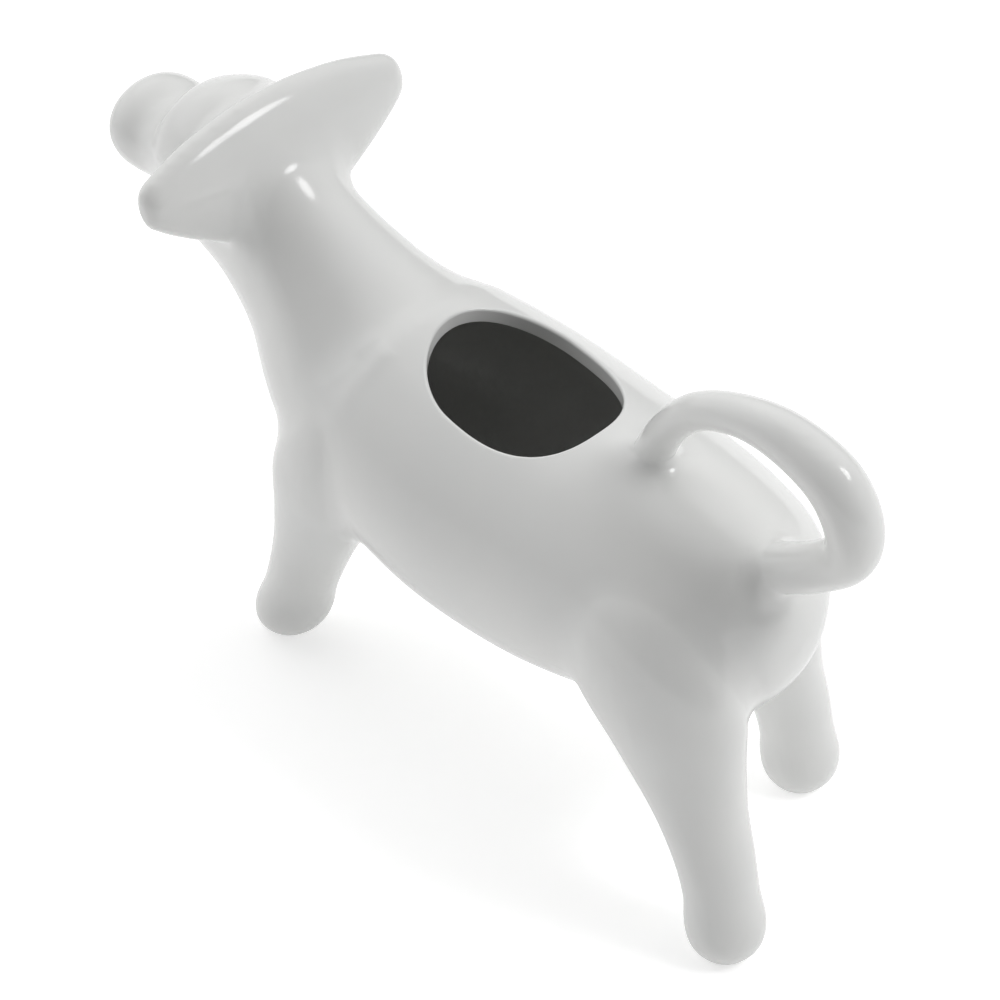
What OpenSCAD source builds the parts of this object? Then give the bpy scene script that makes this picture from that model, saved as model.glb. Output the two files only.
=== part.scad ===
// Cow-shaped cream jug in white glazed porcelain, standing on its four feet.
// Trunk, neck and head are hollow: cream goes in through the back and pours from the mouth.
// +X is the way the cow faces, +Y its left side and +Z up, from the table under its middle.
// Every piece is cast by itself and luted to the next, so each ends where its neighbour starts.

/* [Trunk] */
// Length of the trunk from the rump to the shoulders
trunk_len = 87; // [80:1:96]
// Full width of the barrel
trunk_w = 52; // [46:1:58]
// Height of the barrel from belly to back
trunk_h = 50; // [44:1:54]
// Height of the barrel's middle above the table
trunk_z = 53; // [50:1:58]
// Thickness of the cast wall
wall = 3; // [2:0.25:3.5]

/* [Fill opening] */
// Length of the opening in the back
fill_len = 37; // [30:1:40]
// Greatest width of the opening
fill_w = 28; // [22:1:32]
// Squareness of its rear edge, where 2 is an ellipse
fill_square = 2.4; // [2:0.2:4]
// Angle by which the opening is turned to the cow's right
fill_turn = 6; // [0:1:10]

/* [Neck] */
// Reach of the neck ahead of the shoulders
neck_reach = 42; // [38:1:46]
// Rise of the neck above the shoulders
neck_rise = 36; // [32:1:40]
// Full width of the neck behind the ears
neck_w = 26; // [24:0.5:29]

/* [Head] */
// Length of the head from the back of the skull to the lips
head_len = 44; // [41:1:50]
// Full width of the skull
head_w = 27; // [25:0.5:30]
// Height of the skull
head_h = 27; // [25:0.5:30]
// Angle by which the head is turned to the cow's right
head_turn = 4; // [0:1:8]
// Width of the pouring mouth
mouth_w = 9; // [7:0.5:10]
// Height of the pouring mouth
mouth_h = 7; // [6:0.5:8]

/* [Ears] */
// Distance between the two ear tips
ear_span = 57.5; // [50:0.5:62]
// Height of an ear at its root
ear_h = 22; // [18:0.5:24]
// Thickness of an ear at its root
ear_t = 8.5; // [7:0.5:10]
// Angle by which the ears lean forward
ear_lean = 14; // [0:1:20]

/* [Legs] */
// Diameter of a foot
foot_d = 14.2; // [12:0.2:16]
// Distance between the middles of the rear feet
stance_w = 38.5; // [34:0.5:42]
// How much narrower the front feet stand
front_tuck = 6; // [0:0.5:8]
// Distance between the front and rear feet on the left side
stance_len = 110; // [102:1:116]
// How far behind the rump the rear left foot stands
trail = 3; // [0:0.5:6]
// How far the rear right foot is gathered forward, as in a walk
rear_stride = 17; // [0:1:20]
// How far the front right foot is held back
front_stride = 12; // [0:1:16]
// Length of a rear haunch along the body
haunch_len = 31; // [26:1:34]
// Length of a front shoulder along the body
shoulder_len = 26; // [22:1:30]
// Thickness of a haunch or shoulder across the body
haunch_w = 19; // [17:0.5:22]

/* [Tail handle] */
// Thickness of the tail at its bend
tail_d = 9.6; // [8:0.2:11]
// Reach of the tail behind its root
tail_reach = 48.6; // [44:0.2:52]
// Rise of the tail above the barrel's middle
tail_rise = 47.5; // [44:0.5:52]

/* [Hidden] */
glaze = [0.95, 0.95, 0.94];

// Points round each kind of ring, and rings from one station to the next
trunk_points = 36;
hollow_points = 28;
head_points = 28;
limb_points = 18;
tail_points = 14;
trunk_steps = 3;
hollow_steps = 2;
limb_steps = 2;
arc_step = 9;
mouth_points = 24;
spline_nudge = 0.01;
// Rings from the shoulders to the face where the neck is luted on
split_rings = 2;
// How far a hollow runs past the end of its piece, in stations
past_end = 1;

// Trunk stations, rump to shoulders: place along the trunk, rise of the middle,
// half width, reach up and reach down
trunk_shares = [
    [0.000, 0.05, 0.004, 0.004, 0.004],
    [0.012, 0.05, 0.120, 0.130, 0.135],
    [0.042, 0.05, 0.220, 0.240, 0.255],
    [0.096, 0.05, 0.325, 0.345, 0.365],
    [0.190, 0.05, 0.410, 0.415, 0.450],
    [0.360, 0.03, 0.475, 0.465, 0.510],
    [0.580, 0.00, 0.505, 0.490, 0.550],
    [0.800, 0.01, 0.515, 0.480, 0.560],
    [1.000, 0.05, 0.475, 0.460, 0.530],
];
// Neck stations, shoulders to skull: reach, rise, half width, back and throat
neck_shares = [
    [0.27, 0.13, 0.78, 0.78, 0.96],
    [0.52, 0.40, 0.56, 0.54, 0.87],
    [0.74, 0.62, 0.45, 0.45, 0.86],
    [0.90, 0.79, 0.47, 0.41, 0.96],
    [1.01, 0.93, 0.44, 0.31, 0.94],
];
// Head stations, back of the skull to the lips: place, drop, half width, up and down
head_shares = [
    [0.000, 0.00, 0.004, 0.004, 0.004],
    [0.015, 0.00, 0.180, 0.150, 0.220],
    [0.070, 0.00, 0.320, 0.260, 0.400],
    [0.170, 0.00, 0.420, 0.420, 0.520],
    [0.310, -0.04, 0.480, 0.500, 0.560],
    [0.470, -0.10, 0.470, 0.420, 0.490],
    [0.610, -0.20, 0.400, 0.265, 0.430],
    [0.730, -0.27, 0.360, 0.215, 0.380],
    [0.840, -0.31, 0.370, 0.280, 0.360],
    [0.930, -0.33, 0.335, 0.270, 0.310],
    [0.985, -0.35, 0.220, 0.180, 0.190],
    [1.000, -0.35, 0.004, 0.004, 0.004],
];
// Ear stations, crown to tip: reach, rise, half thickness, up and down
ear_shares = [
    [0.00, 0.18, 0.52, 0.52, 0.60],
    [0.20, 0.18, 0.52, 0.51, 0.59],
    [0.42, 0.17, 0.50, 0.48, 0.56],
    [0.62, 0.19, 0.46, 0.41, 0.44],
    [0.82, 0.23, 0.39, 0.29, 0.30],
    [0.94, 0.26, 0.31, 0.20, 0.20],
    [0.99, 0.27, 0.17, 0.11, 0.14],
    [1.00, 0.27, 0.01, 0.01, 0.01],
];
// Leg stations, sole to hip: height, lean towards the hip, swell to the haunch, rounding
leg_shares = [
    [0.000, 0.00, 0.00, 0.58],
    [0.018, 0.00, 0.00, 0.80],
    [0.050, 0.00, 0.00, 0.95],
    [0.100, 0.01, 0.00, 1.00],
    [0.180, 0.06, 0.00, 0.94],
    [0.290, 0.16, 0.05, 0.96],
    [0.410, 0.33, 0.30, 1.00],
    [0.550, 0.57, 0.72, 1.02],
    [0.690, 0.80, 0.96, 1.02],
    [0.830, 0.94, 1.00, 0.96],
    [0.940, 1.00, 1.00, 0.74],
    [0.990, 1.00, 1.00, 0.38],
    [1.000, 1.00, 1.00, 0.02],
];
// Tail stations, root, loop and end: reach behind the root, rise, half thickness
tail_shares = [
    [-0.12, 0.34, 0.52],
    [-0.03, 0.49, 0.48],
    [0.07, 0.69, 0.43],
    [0.22, 0.865, 0.41],
    [0.43, 0.97, 0.44],
    [0.64, 0.995, 0.47],
    [0.83, 0.935, 0.50],
    [0.94, 0.80, 0.50],
    [0.935, 0.65, 0.48],
    [0.80, 0.51, 0.46],
    [0.62, 0.42, 0.46],
    [0.46, 0.34, 0.48],
];

// Smooth values between stations
function catmull(a, b, c, d, u) = b + (c - a) * (u / 2)
    + (a * 2 - b * 5 + c * 4 - d) * (u * u / 2)
    + (b * 3 - c * 3 + d - a) * (u * u * u / 2);
function along(rows, t) =
    let (last = len(rows) - 1, i = min(floor(t), last - 1))
    catmull(rows[max(i - 1, 0)], rows[i], rows[i + 1], rows[min(i + 2, last)], t - i);
// Slope of a spine whose rows start with x and z
function heading(rows, t) =
    let (last = len(rows) - 1,
        step = along(rows, min(t + spline_nudge, last)) - along(rows, max(t - spline_nudge, 0)))
    atan2(step[1], step[0]);
// Ring square to a spine of x, z, half width, reach up, reach down
function spine_ring(rows, t, points) =
    let (row = along(rows, t), tilt = heading(rows, t))
    [for (i = [0 : points - 1])
        let (a = 360 * i / points, h = (sin(a) > 0 ? row[3] : row[4]) * sin(a))
        [row[0] - h * sin(tilt), row[2] * cos(a), row[1] + h * cos(tilt)]];

// Closed skin over a row of rings, with capped ends, or joined end to end in a loop
module loft(rings, looped = false) {
    n = len(rings[0]);
    m = len(rings);
    sides = [for (j = [0 : looped ? m - 1 : m - 2], i = [0 : n - 1])
        let (a = j * n + i, b = j * n + (i + 1) % n, c = (a + n) % (m * n), d = (b + n) % (m * n))
        each [[a, c, d], [a, d, b]]];
    first = [for (i = [0 : n - 1]) i];
    last = [for (i = [n - 1 : -1 : 0]) (m - 1) * n + i];
    polyhedron([for (ring = rings) each ring], looped ? sides : concat([first, last], sides));
}
module spine_loft(rows, from, to, steps, points) {
    count = round((to - from) * steps);
    loft([for (k = [0 : count]) spine_ring(rows, from + (to - from) * k / count, points)]);
}

// Trunk and neck are one run of stations; an inset makes the hollow inside the wall
function trunk_rows(inset) = [for (s = trunk_shares) [
    inset + s[0] * (trunk_len - inset), trunk_z + s[1] * trunk_h, s[2] * (trunk_w - 2 * inset),
    s[3] * (trunk_h - 2 * inset), s[4] * (trunk_h - 2 * inset)]];
shoulder_t = len(trunk_shares) - 1;
split_t = shoulder_t + split_rings / trunk_steps;
shoulder_z = trunk_z + trunk_shares[shoulder_t][1] * trunk_h;
function neck_rows(inset) = [for (s = neck_shares) [
    trunk_len + s[0] * neck_reach, shoulder_z + s[1] * neck_rise,
    s[2] * neck_w - inset, s[3] * neck_w - inset, s[4] * neck_w - inset]];
poll_t = shoulder_t + len(neck_shares);
hollow_t = poll_t - 1 / hollow_steps;
function run_rows(inset) = concat(trunk_rows(inset), neck_rows(inset));
module run(from, to) {
    spine_loft(run_rows(0), from, to, trunk_steps, trunk_points);
}
module run_hollow(from, to) {
    spine_loft(run_rows(wall), from, to, hollow_steps, hollow_points);
}

// Head in its own place, turned about the back of the skull
skull_x_share = 0.74;
skull_z_share = 0.88;
skull_x = trunk_len + skull_x_share * neck_reach;
skull_z = shoulder_z + skull_z_share * neck_rise;
head_t = len(head_shares) - 1;
lips_z = skull_z + head_shares[head_t][1] * head_h;
function head_rows(inset) = [for (s = head_shares) [
    skull_x + inset + s[0] * (head_len - 2 * inset), skull_z + s[1] * head_h,
    s[2] * (head_w - 2 * inset), s[3] * (head_h - 2 * inset), s[4] * (head_h - 2 * inset)]];
module turned_head() {
    translate([skull_x, 0, 0]) rotate([0, 0, -head_turn]) translate([-skull_x, 0, 0]) children();
}
module skull(inset) {
    turned_head() spine_loft(head_rows(inset), 0, head_t, limb_steps, head_points);
}
mouth_depth = 3 * wall;
module mouth() {
    turned_head() translate([skull_x + head_len - mouth_depth, 0, lips_z])
        scale([1, mouth_w, mouth_h]) rotate([0, 90, 0])
            cylinder(d = 1, h = mouth_depth + wall, $fn = mouth_points);
}

// Both ears and the crown between them are one leaning blade, parted beside the skull
blade_share = 0.14;
part_share = 0.42;
blade_x = skull_x + blade_share * head_len;
part_y = part_share * head_w;
tip_t = len(ear_shares) - 1;
function ear_ring(t) =
    let (s = along(ear_shares, abs(t)))
    [for (i = [0 : limb_points - 1])
        let (a = 360 * i / limb_points, w = s[2] * sin(a) * ear_t,
            h = (cos(a) > 0 ? s[3] : s[4]) * cos(a) * ear_h)
        [blade_x + w * cos(ear_lean) + h * sin(ear_lean), sign(t) * s[0] * ear_span / 2,
            skull_z + s[1] * ear_h - w * sin(ear_lean) + h * cos(ear_lean)]];
module ear_blade() {
    last = tip_t * limb_steps;
    turned_head() loft([for (k = [-last : last]) ear_ring(k / limb_steps)]);
}
module beside_skull(side) {
    turned_head() translate([blade_x, side * (part_y + ear_span / 2), skull_z])
        cube([head_len, ear_span, 3 * ear_h], center = true);
}

// Outline of the fill opening, round in front and straight behind, as points on the plan
fill_share = 0.76;
fill_front_share = 0.41;
fill_x = fill_share * trunk_len;
function fill_outline() = [for (a = [0 : arc_step : 360 - arc_step])
    let (power = cos(a) < 0 ? 2 / fill_square : 1,
        reach = cos(a) < 0 ? 1 - fill_front_share : fill_front_share)
    let (ahead = fill_len * reach * sign(cos(a)) * pow(abs(cos(a)), power),
        aside = fill_w / 2 * sign(sin(a)) * pow(abs(sin(a)), power))
    [fill_x + ahead * cos(fill_turn) + aside * sin(fill_turn),
        aside * cos(fill_turn) - ahead * sin(fill_turn)]];

// A leg leans from its foot to a hip inside the trunk and swells into the haunch
module leg_blank(foot, hip, haunch) {
    loft([for (k = [0 : (len(leg_shares) - 1) * limb_steps])
        let (s = along(leg_shares, k / limb_steps), middle = foot + (hip - foot) * s[1],
            rx = (foot_d + (haunch - foot_d) * s[2]) / 2 * s[3],
            ry = (foot_d + (haunch_w - foot_d) * s[2]) / 2 * s[3])
        [for (i = [0 : limb_points - 1])
            let (a = 360 * i / limb_points)
            [middle[0] + rx * cos(a), middle[1] + ry * sin(a), s[0] * hip[2]]]]);
}
module leg(foot, hip, haunch) {
    color(glaze) from_middle() difference() {
        leg_blank([foot[0], foot[1], 0], hip, haunch);
        run(0, poll_t);
    }
}
// Hips as shares of the trunk's length, half width and height
rear_hip_share = [0.24, 0.58, 0.30];
near_hip_share = [0.31, 0.42, 0.30];
front_hip_share = [1.02, 0.60, 0.26];
function hip(share, side) =
    [share[0] * trunk_len, side * share[1] * trunk_w / 2, trunk_z + share[2] * trunk_h];

front_x = stance_len - trail;
front_y = (stance_w - front_tuck) / 2;

tail_x_share = 0.42;
tail_x = tail_x_share * trunk_len;
function tail_rows() = [for (s = tail_shares)
    [tail_x - s[0] * tail_reach, trunk_z + s[1] * tail_rise, s[2] * tail_d, s[2] * tail_d, s[2] * tail_d]];

// Everything is placed from the rump, then moved so that the jug's middle is the origin
tail_back = tail_x - max([for (s = tail_shares) s[0] * tail_reach + s[2] * tail_d]);
middle_x = (tail_back + skull_x + head_len * cos(head_turn)) / 2;
middle_y = -(blade_x - skull_x) * sin(head_turn);
module from_middle() {
    translate([-middle_x, -middle_y, 0]) children();
}

module body_shell() {
    color(glaze) from_middle() {
        difference() {
            run(0, split_t);
            run_hollow(0, shoulder_t + past_end);
            translate([0, 0, trunk_z]) linear_extrude(trunk_h) polygon(fill_outline());

        }
    }
}
module neck() {
    color(glaze) from_middle() difference() {
        run(split_t, poll_t);
        run_hollow(shoulder_t, hollow_t);
        skull(0);
        ear_blade();
    }
}
module head() {
    color(glaze) from_middle() difference() {
        union() {
            skull(0);
            difference() {
                ear_blade();
                beside_skull(1);
                beside_skull(-1);
            }
        }
        skull(wall);
        run_hollow(shoulder_t + past_end, hollow_t);
        mouth();
    }
}
module ear(side) {
    color(glaze) from_middle() difference() {
        intersection() {
            ear_blade();
            beside_skull(side);
        }
        skull(0);
    }
}
module left_ear() ear(1);
module right_ear() ear(-1);
module front_left_leg()
    leg([front_x, front_y], hip(front_hip_share, 1), shoulder_len);
module front_right_leg()
    leg([front_x - front_stride, -front_y], hip(front_hip_share, -1), shoulder_len);
module rear_left_leg() leg([-trail, stance_w / 2], hip(rear_hip_share, 1), haunch_len);
module rear_right_leg() leg([rear_stride - trail, -stance_w / 2], hip(near_hip_share, -1), haunch_len);
module tail_handle() {
    color(glaze) from_middle() difference() {
        spine_loft(tail_rows(), 0, len(tail_shares) - 1, trunk_steps, tail_points);
        run(0, shoulder_t);
    }
}

body_shell();
neck();
head();
left_ear();
right_ear();
front_left_leg();
front_right_leg();
rear_left_leg();
rear_right_leg();
tail_handle();
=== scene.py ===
"""Looks of a small white porcelain cream jug in the form of a standing cow.

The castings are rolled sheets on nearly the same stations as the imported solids. They are
joined into one skin and wet clay is wiped into its joins, the skin is hollowed and its edges
are softened, and it is parted again into the ten castings, which share its curves across
every seam.
"""

import logging
import math
from dataclasses import dataclass
from enum import Enum
from functools import cache
from typing import Callable, Sequence

import bmesh
import bpy
import numpy as np
from mathutils import Matrix, Vector
from mathutils.bvhtree import BVHTree
from mathutils.interpolate import poly_3d_calc


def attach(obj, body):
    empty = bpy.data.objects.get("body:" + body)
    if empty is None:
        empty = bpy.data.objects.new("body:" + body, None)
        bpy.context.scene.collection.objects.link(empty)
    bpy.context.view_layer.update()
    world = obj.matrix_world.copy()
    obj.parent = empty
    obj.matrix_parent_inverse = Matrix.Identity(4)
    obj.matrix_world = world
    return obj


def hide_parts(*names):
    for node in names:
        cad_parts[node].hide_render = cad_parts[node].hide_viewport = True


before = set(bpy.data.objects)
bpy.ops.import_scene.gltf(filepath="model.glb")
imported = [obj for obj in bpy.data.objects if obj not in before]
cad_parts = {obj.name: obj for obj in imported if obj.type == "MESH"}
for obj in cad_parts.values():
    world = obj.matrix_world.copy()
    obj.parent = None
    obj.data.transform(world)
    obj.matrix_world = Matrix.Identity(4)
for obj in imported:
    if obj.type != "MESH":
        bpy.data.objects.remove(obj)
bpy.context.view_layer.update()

LOG = logging.getLogger("cow_creamer")
MM = 0.001
BODY = "root"
DOWN = Vector((0, 0, -1))
# The slope of a run is taken over this many stations to both sides.
SLOPE_STEP = 0.01
# Edges sharper than this stay crisp under the glaze.
CREASE = math.radians(40)
# Points nearer than these are one: where a rolled sheet meets itself, and where a cut left two.
SEAM_GAP = 0.0005 * MM
CUT_GAP = 0.0001 * MM

Solid = bpy.types.Object
Row = tuple[float, ...]
Place = Callable[[float, float], Vector]


class Cut(Enum):
    """What a second solid does to the first."""

    JOIN = "UNION"
    TAKE = "DIFFERENCE"
    KEEP = "INTERSECT"


def catmull(a: Row, b: Row, c: Row, d: Row, u: float) -> Row:
    """Smooth values between the stations b and c.

    Args:
        a, b, c, d: four stations in order.
        u: how far the wanted place lies from b to c, from 0 to 1.

    Returns:
        The values at that place.
    """
    return tuple(
        q + (r - p) * u / 2 + (2 * p - 5 * q + 4 * r - s) * u * u / 2
        + (3 * q - 3 * r + s - p) * u ** 3 / 2
        for p, q, r, s in zip(a, b, c, d)
    )


def along(rows: Sequence[Row], t: float) -> Row:
    """The values of a table at a place between its stations.

    Args:
        rows: the stations in order.
        t: the place, counted in stations.

    Returns:
        The values there.
    """
    last = len(rows) - 1
    i = min(int(math.floor(t)), last - 1)
    return catmull(rows[max(i - 1, 0)], rows[i], rows[i + 1], rows[min(i + 2, last)], t - i)


def heading(rows: Sequence[Row], t: float) -> float:
    """Slope of a spine whose rows start with x and z, as an angle in radians."""
    last = len(rows) - 1
    far, near = along(rows, min(t + SLOPE_STEP, last)), along(rows, max(t - SLOPE_STEP, 0))
    return math.atan2(far[1] - near[1], far[0] - near[0])


def rings_of(rows: Sequence[Row]) -> Callable[[float], Row]:
    """Gives the ring at a share of a run's length, and remembers it.

    Args:
        rows: the run's stations in order.

    Returns:
        A function from the share to the values there and the slope.
    """
    last = len(rows) - 1

    @cache
    def ring(share: float) -> Row:
        return along(rows, share * last) + (heading(rows, share * last),)

    return ring


def on_ring(ring: Row, angle: float) -> Vector:
    """A point of a ring.

    Args:
        ring: its x, z, half width, reach up, reach down and slope.
        angle: angle round it, from the cow's left upwards.

    Returns:
        The point in millimetres.
    """
    x, z, wide, up, down, tilt = ring
    high = (up if math.sin(angle) > 0 else down) * math.sin(angle)
    return Vector((x - high * math.sin(tilt), wide * math.cos(angle), z + high * math.cos(tilt)))


def roll(name: str, rings: int, points: int, place: Place) -> Solid:
    """Rolls a flat sheet of clay round a form and closes its two ends.

    Args:
        name: name of the new object.
        rings: faces along the roll.
        points: faces round the roll.
        place: gives the point for a share of the length and an angle round it.

    Returns:
        The closed object.
    """
    bm = bmesh.new()
    bmesh.ops.create_grid(bm, x_segments=points, y_segments=rings, size=1.0)
    for vert in bm.verts:
        vert.co = place((vert.co.y + 1) / 2, (vert.co.x + 1) * math.pi) * MM
    bmesh.ops.remove_doubles(bm, verts=bm.verts, dist=SEAM_GAP)
    bmesh.ops.holes_fill(bm, edges=[e for e in bm.edges if e.is_boundary], sides=0)
    bmesh.ops.recalc_face_normals(bm, faces=bm.faces)
    return as_object(name, bm)


def block(name: str, low: Vector, high: Vector, turn: Matrix = Matrix()) -> Solid:
    """A plain block that only parts or trims other pieces.

    Args:
        name: name of the new object.
        low, high: its corners in millimetres before the turn.
        turn: placing of the block, in millimetres.

    Returns:
        The block.
    """
    bm = bmesh.new()
    bmesh.ops.create_cube(bm, size=1.0)
    bmesh.ops.scale(bm, vec=high - low, verts=bm.verts)
    bmesh.ops.translate(bm, vec=(high + low) / 2, verts=bm.verts)
    bmesh.ops.transform(bm, matrix=Matrix.Scale(MM, 4) @ turn, verts=bm.verts)
    return as_object(name, bm)


def as_object(name: str, bm: bmesh.types.BMesh) -> Solid:
    """Turns a bmesh into an object of the scene and frees it."""
    mesh = bpy.data.meshes.new(name)
    bm.to_mesh(mesh)
    bm.free()
    return placed(name, mesh)


def placed(name: str, data: bpy.types.ID) -> bpy.types.Object:
    """An object of the scene that shows a mesh, a lamp or a camera."""
    made = bpy.data.objects.new(name, data)
    bpy.context.scene.collection.objects.link(made)
    return made


def settle(obj: Solid) -> Solid:
    """Makes the result of an object's modifiers its mesh.

    Args:
        obj: the object with live modifiers.

    Returns:
        The same object, without modifiers.
    """
    bpy.context.view_layer.update()
    done = bpy.data.meshes.new_from_object(
        obj.evaluated_get(bpy.context.evaluated_depsgraph_get()))
    obj.modifiers.clear()
    spent, obj.data = obj.data, done
    bpy.data.meshes.remove(spent)
    return obj


def carve(obj: Solid, tool: Solid, cut: Cut) -> Solid:
    """Joins a solid to another, takes it away or keeps only what they share.

    Args:
        obj: the solid that changes.
        tool: the second solid, which stays.
        cut: what is done.

    Returns:
        The changed solid.
    """
    work = obj.modifiers.new("carve", "BOOLEAN")
    work.operation = cut.value
    work.solver = "MANIFOLD"
    work.material_mode = "TRANSFER" if tool.data.materials else "INDEX"
    work.object = tool
    return settle(obj)


def knit(obj: Solid) -> None:
    """Joins points that a cut left on one spot and takes out those that hold only two edges.

    Args:
        obj: the cut solid, which stays closed.
    """
    bm = bmesh.new()
    bm.from_mesh(obj.data)
    bmesh.ops.remove_doubles(bm, verts=bm.verts, dist=CUT_GAP)
    bmesh.ops.dissolve_verts(bm, verts=[v for v in bm.verts if len(v.link_edges) == 2])
    bm.to_mesh(obj.data)
    bm.free()


def double(obj: Solid, name: str) -> Solid:
    """A copy of an object with a mesh of its own."""
    return placed(name, obj.data.copy())


def discard(*objs: Solid) -> None:
    """Removes scratch solids with their meshes."""
    for obj in objs:
        bpy.data.meshes.remove(obj.data)


def tree_of(obj: Solid) -> BVHTree:
    """A search tree over an object's surface."""
    mesh = obj.data
    return BVHTree.FromPolygons([v.co for v in mesh.vertices],
                                [p.vertices for p in mesh.polygons], epsilon=0.0)


def remesh(obj: Solid, size_mm: float) -> Solid:
    """Gives a solid one even net of small faces."""
    work = obj.modifiers.new("remesh", "REMESH")
    work.mode = "VOXEL"
    work.voxel_size = size_mm * MM
    return settle(obj)


def read(items: bpy.types.bpy_prop_collection, field: str, width: int) -> np.ndarray:
    """Reads one property of a mesh's items as an array with a row for each.

    Args:
        items: the mesh's points, corners or faces.
        field: the property.
        width: numbers in one value.

    Returns:
        The array.
    """
    flat = np.empty(len(items) * width, dtype=np.float32 if width > 1 else np.int32)
    items.foreach_get(field, flat)
    return flat.reshape(-1, width) if width > 1 else flat


@dataclass(frozen=True)
class Trunk:
    """Sizes of the trunk and the neck, which are one run of stations, in millimetres."""

    length: float = 87.0
    width: float = 52.0
    height: float = 50.0
    middle_z: float = 53.0
    wall: float = 3.0
    neck_reach: float = 42.0
    neck_rise: float = 36.0
    neck_width: float = 26.0
    rings: int = 14
    points: int = 112
    # The yoke lies this deep, starts this many stations past the shoulders and is this thin.
    yoke_depth: float = 0.4
    yoke_place: float = 0.4
    yoke_stations: float = 0.05
    # Shares of the length, then of the height, then half width, reach up and reach down.
    shares: tuple[Row, ...] = (
        (0.000, 0.05, 0.004, 0.004, 0.004),
        (0.012, 0.05, 0.120, 0.130, 0.135),
        (0.042, 0.05, 0.220, 0.240, 0.255),
        (0.096, 0.05, 0.325, 0.345, 0.365),
        (0.190, 0.05, 0.410, 0.415, 0.440),
        (0.360, 0.03, 0.475, 0.465, 0.472),
        (0.580, 0.00, 0.505, 0.497, 0.543),
        (0.800, 0.01, 0.515, 0.493, 0.550),
        (1.000, 0.05, 0.470, 0.478, 0.500),
    )
    neck_shares: tuple[Row, ...] = (
        (0.27, 0.13, 0.78, 0.87, 0.94),
        (0.52, 0.40, 0.56, 0.56, 0.86),
        (0.74, 0.62, 0.45, 0.45, 0.89),
        (0.90, 0.79, 0.47, 0.41, 0.96),
        (1.01, 0.93, 0.44, 0.31, 0.94),
    )

    @property
    def shoulder_t(self) -> int:
        """Station of the shoulders."""
        return len(self.shares) - 1

    @property
    def poll_t(self) -> int:
        """Station where the neck ends inside the skull."""
        return self.shoulder_t + len(self.neck_shares)

    @property
    def shoulder_z(self) -> float:
        """Height of the spine at the shoulders."""
        return self.middle_z + self.shares[-1][1] * self.height

    @cache
    def rows(self, inset: float) -> tuple[Row, ...]:
        """Stations of the run, all lying deeper in the wall by the inset.

        Args:
            inset: depth under the outer face.

        Returns:
            Rows of x, z, half width, reach up and reach down.
        """
        trunk = tuple(
            (inset + x * (self.length - inset), self.middle_z + z * self.height,
             w * (self.width - 2 * inset), up * (self.height - 2 * inset),
             down * (self.height - 2 * inset))
            for x, z, w, up, down in self.shares)
        neck = tuple(
            (self.length + x * self.neck_reach, self.shoulder_z + z * self.neck_rise,
             w * self.neck_width - inset, up * self.neck_width - inset,
             down * self.neck_width - inset)
            for x, z, w, up, down in self.neck_shares)
        return trunk + neck

    @cache
    def ring(self, inset: float, t: float) -> Row:
        """One ring of the run with its slope."""
        rows = self.rows(inset)
        return along(rows, t) + (heading(rows, t),)

    def yoke(self) -> Solid:
        """A thin slice across the shoulders, where the rise of the neck is wiped smooth."""
        start = self.shoulder_t + self.yoke_place
        return roll("yoke", 2, self.points, lambda s, a: jug_place(
            on_ring(self.ring(self.yoke_depth, start + self.yoke_stations * s), a)))

    def run(self, name: str, inset: float, end: float) -> Solid:
        """The solid run from the rump to a station.

        Args:
            name: name of the new object.
            inset: depth under the outer face.
            end: the station, counted from the rump.

        Returns:
            The closed run.
        """
        return roll(name, round(end * self.rings), self.points,
                    lambda s, a: jug_place(on_ring(self.ring(inset, s * end), a)))


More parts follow.
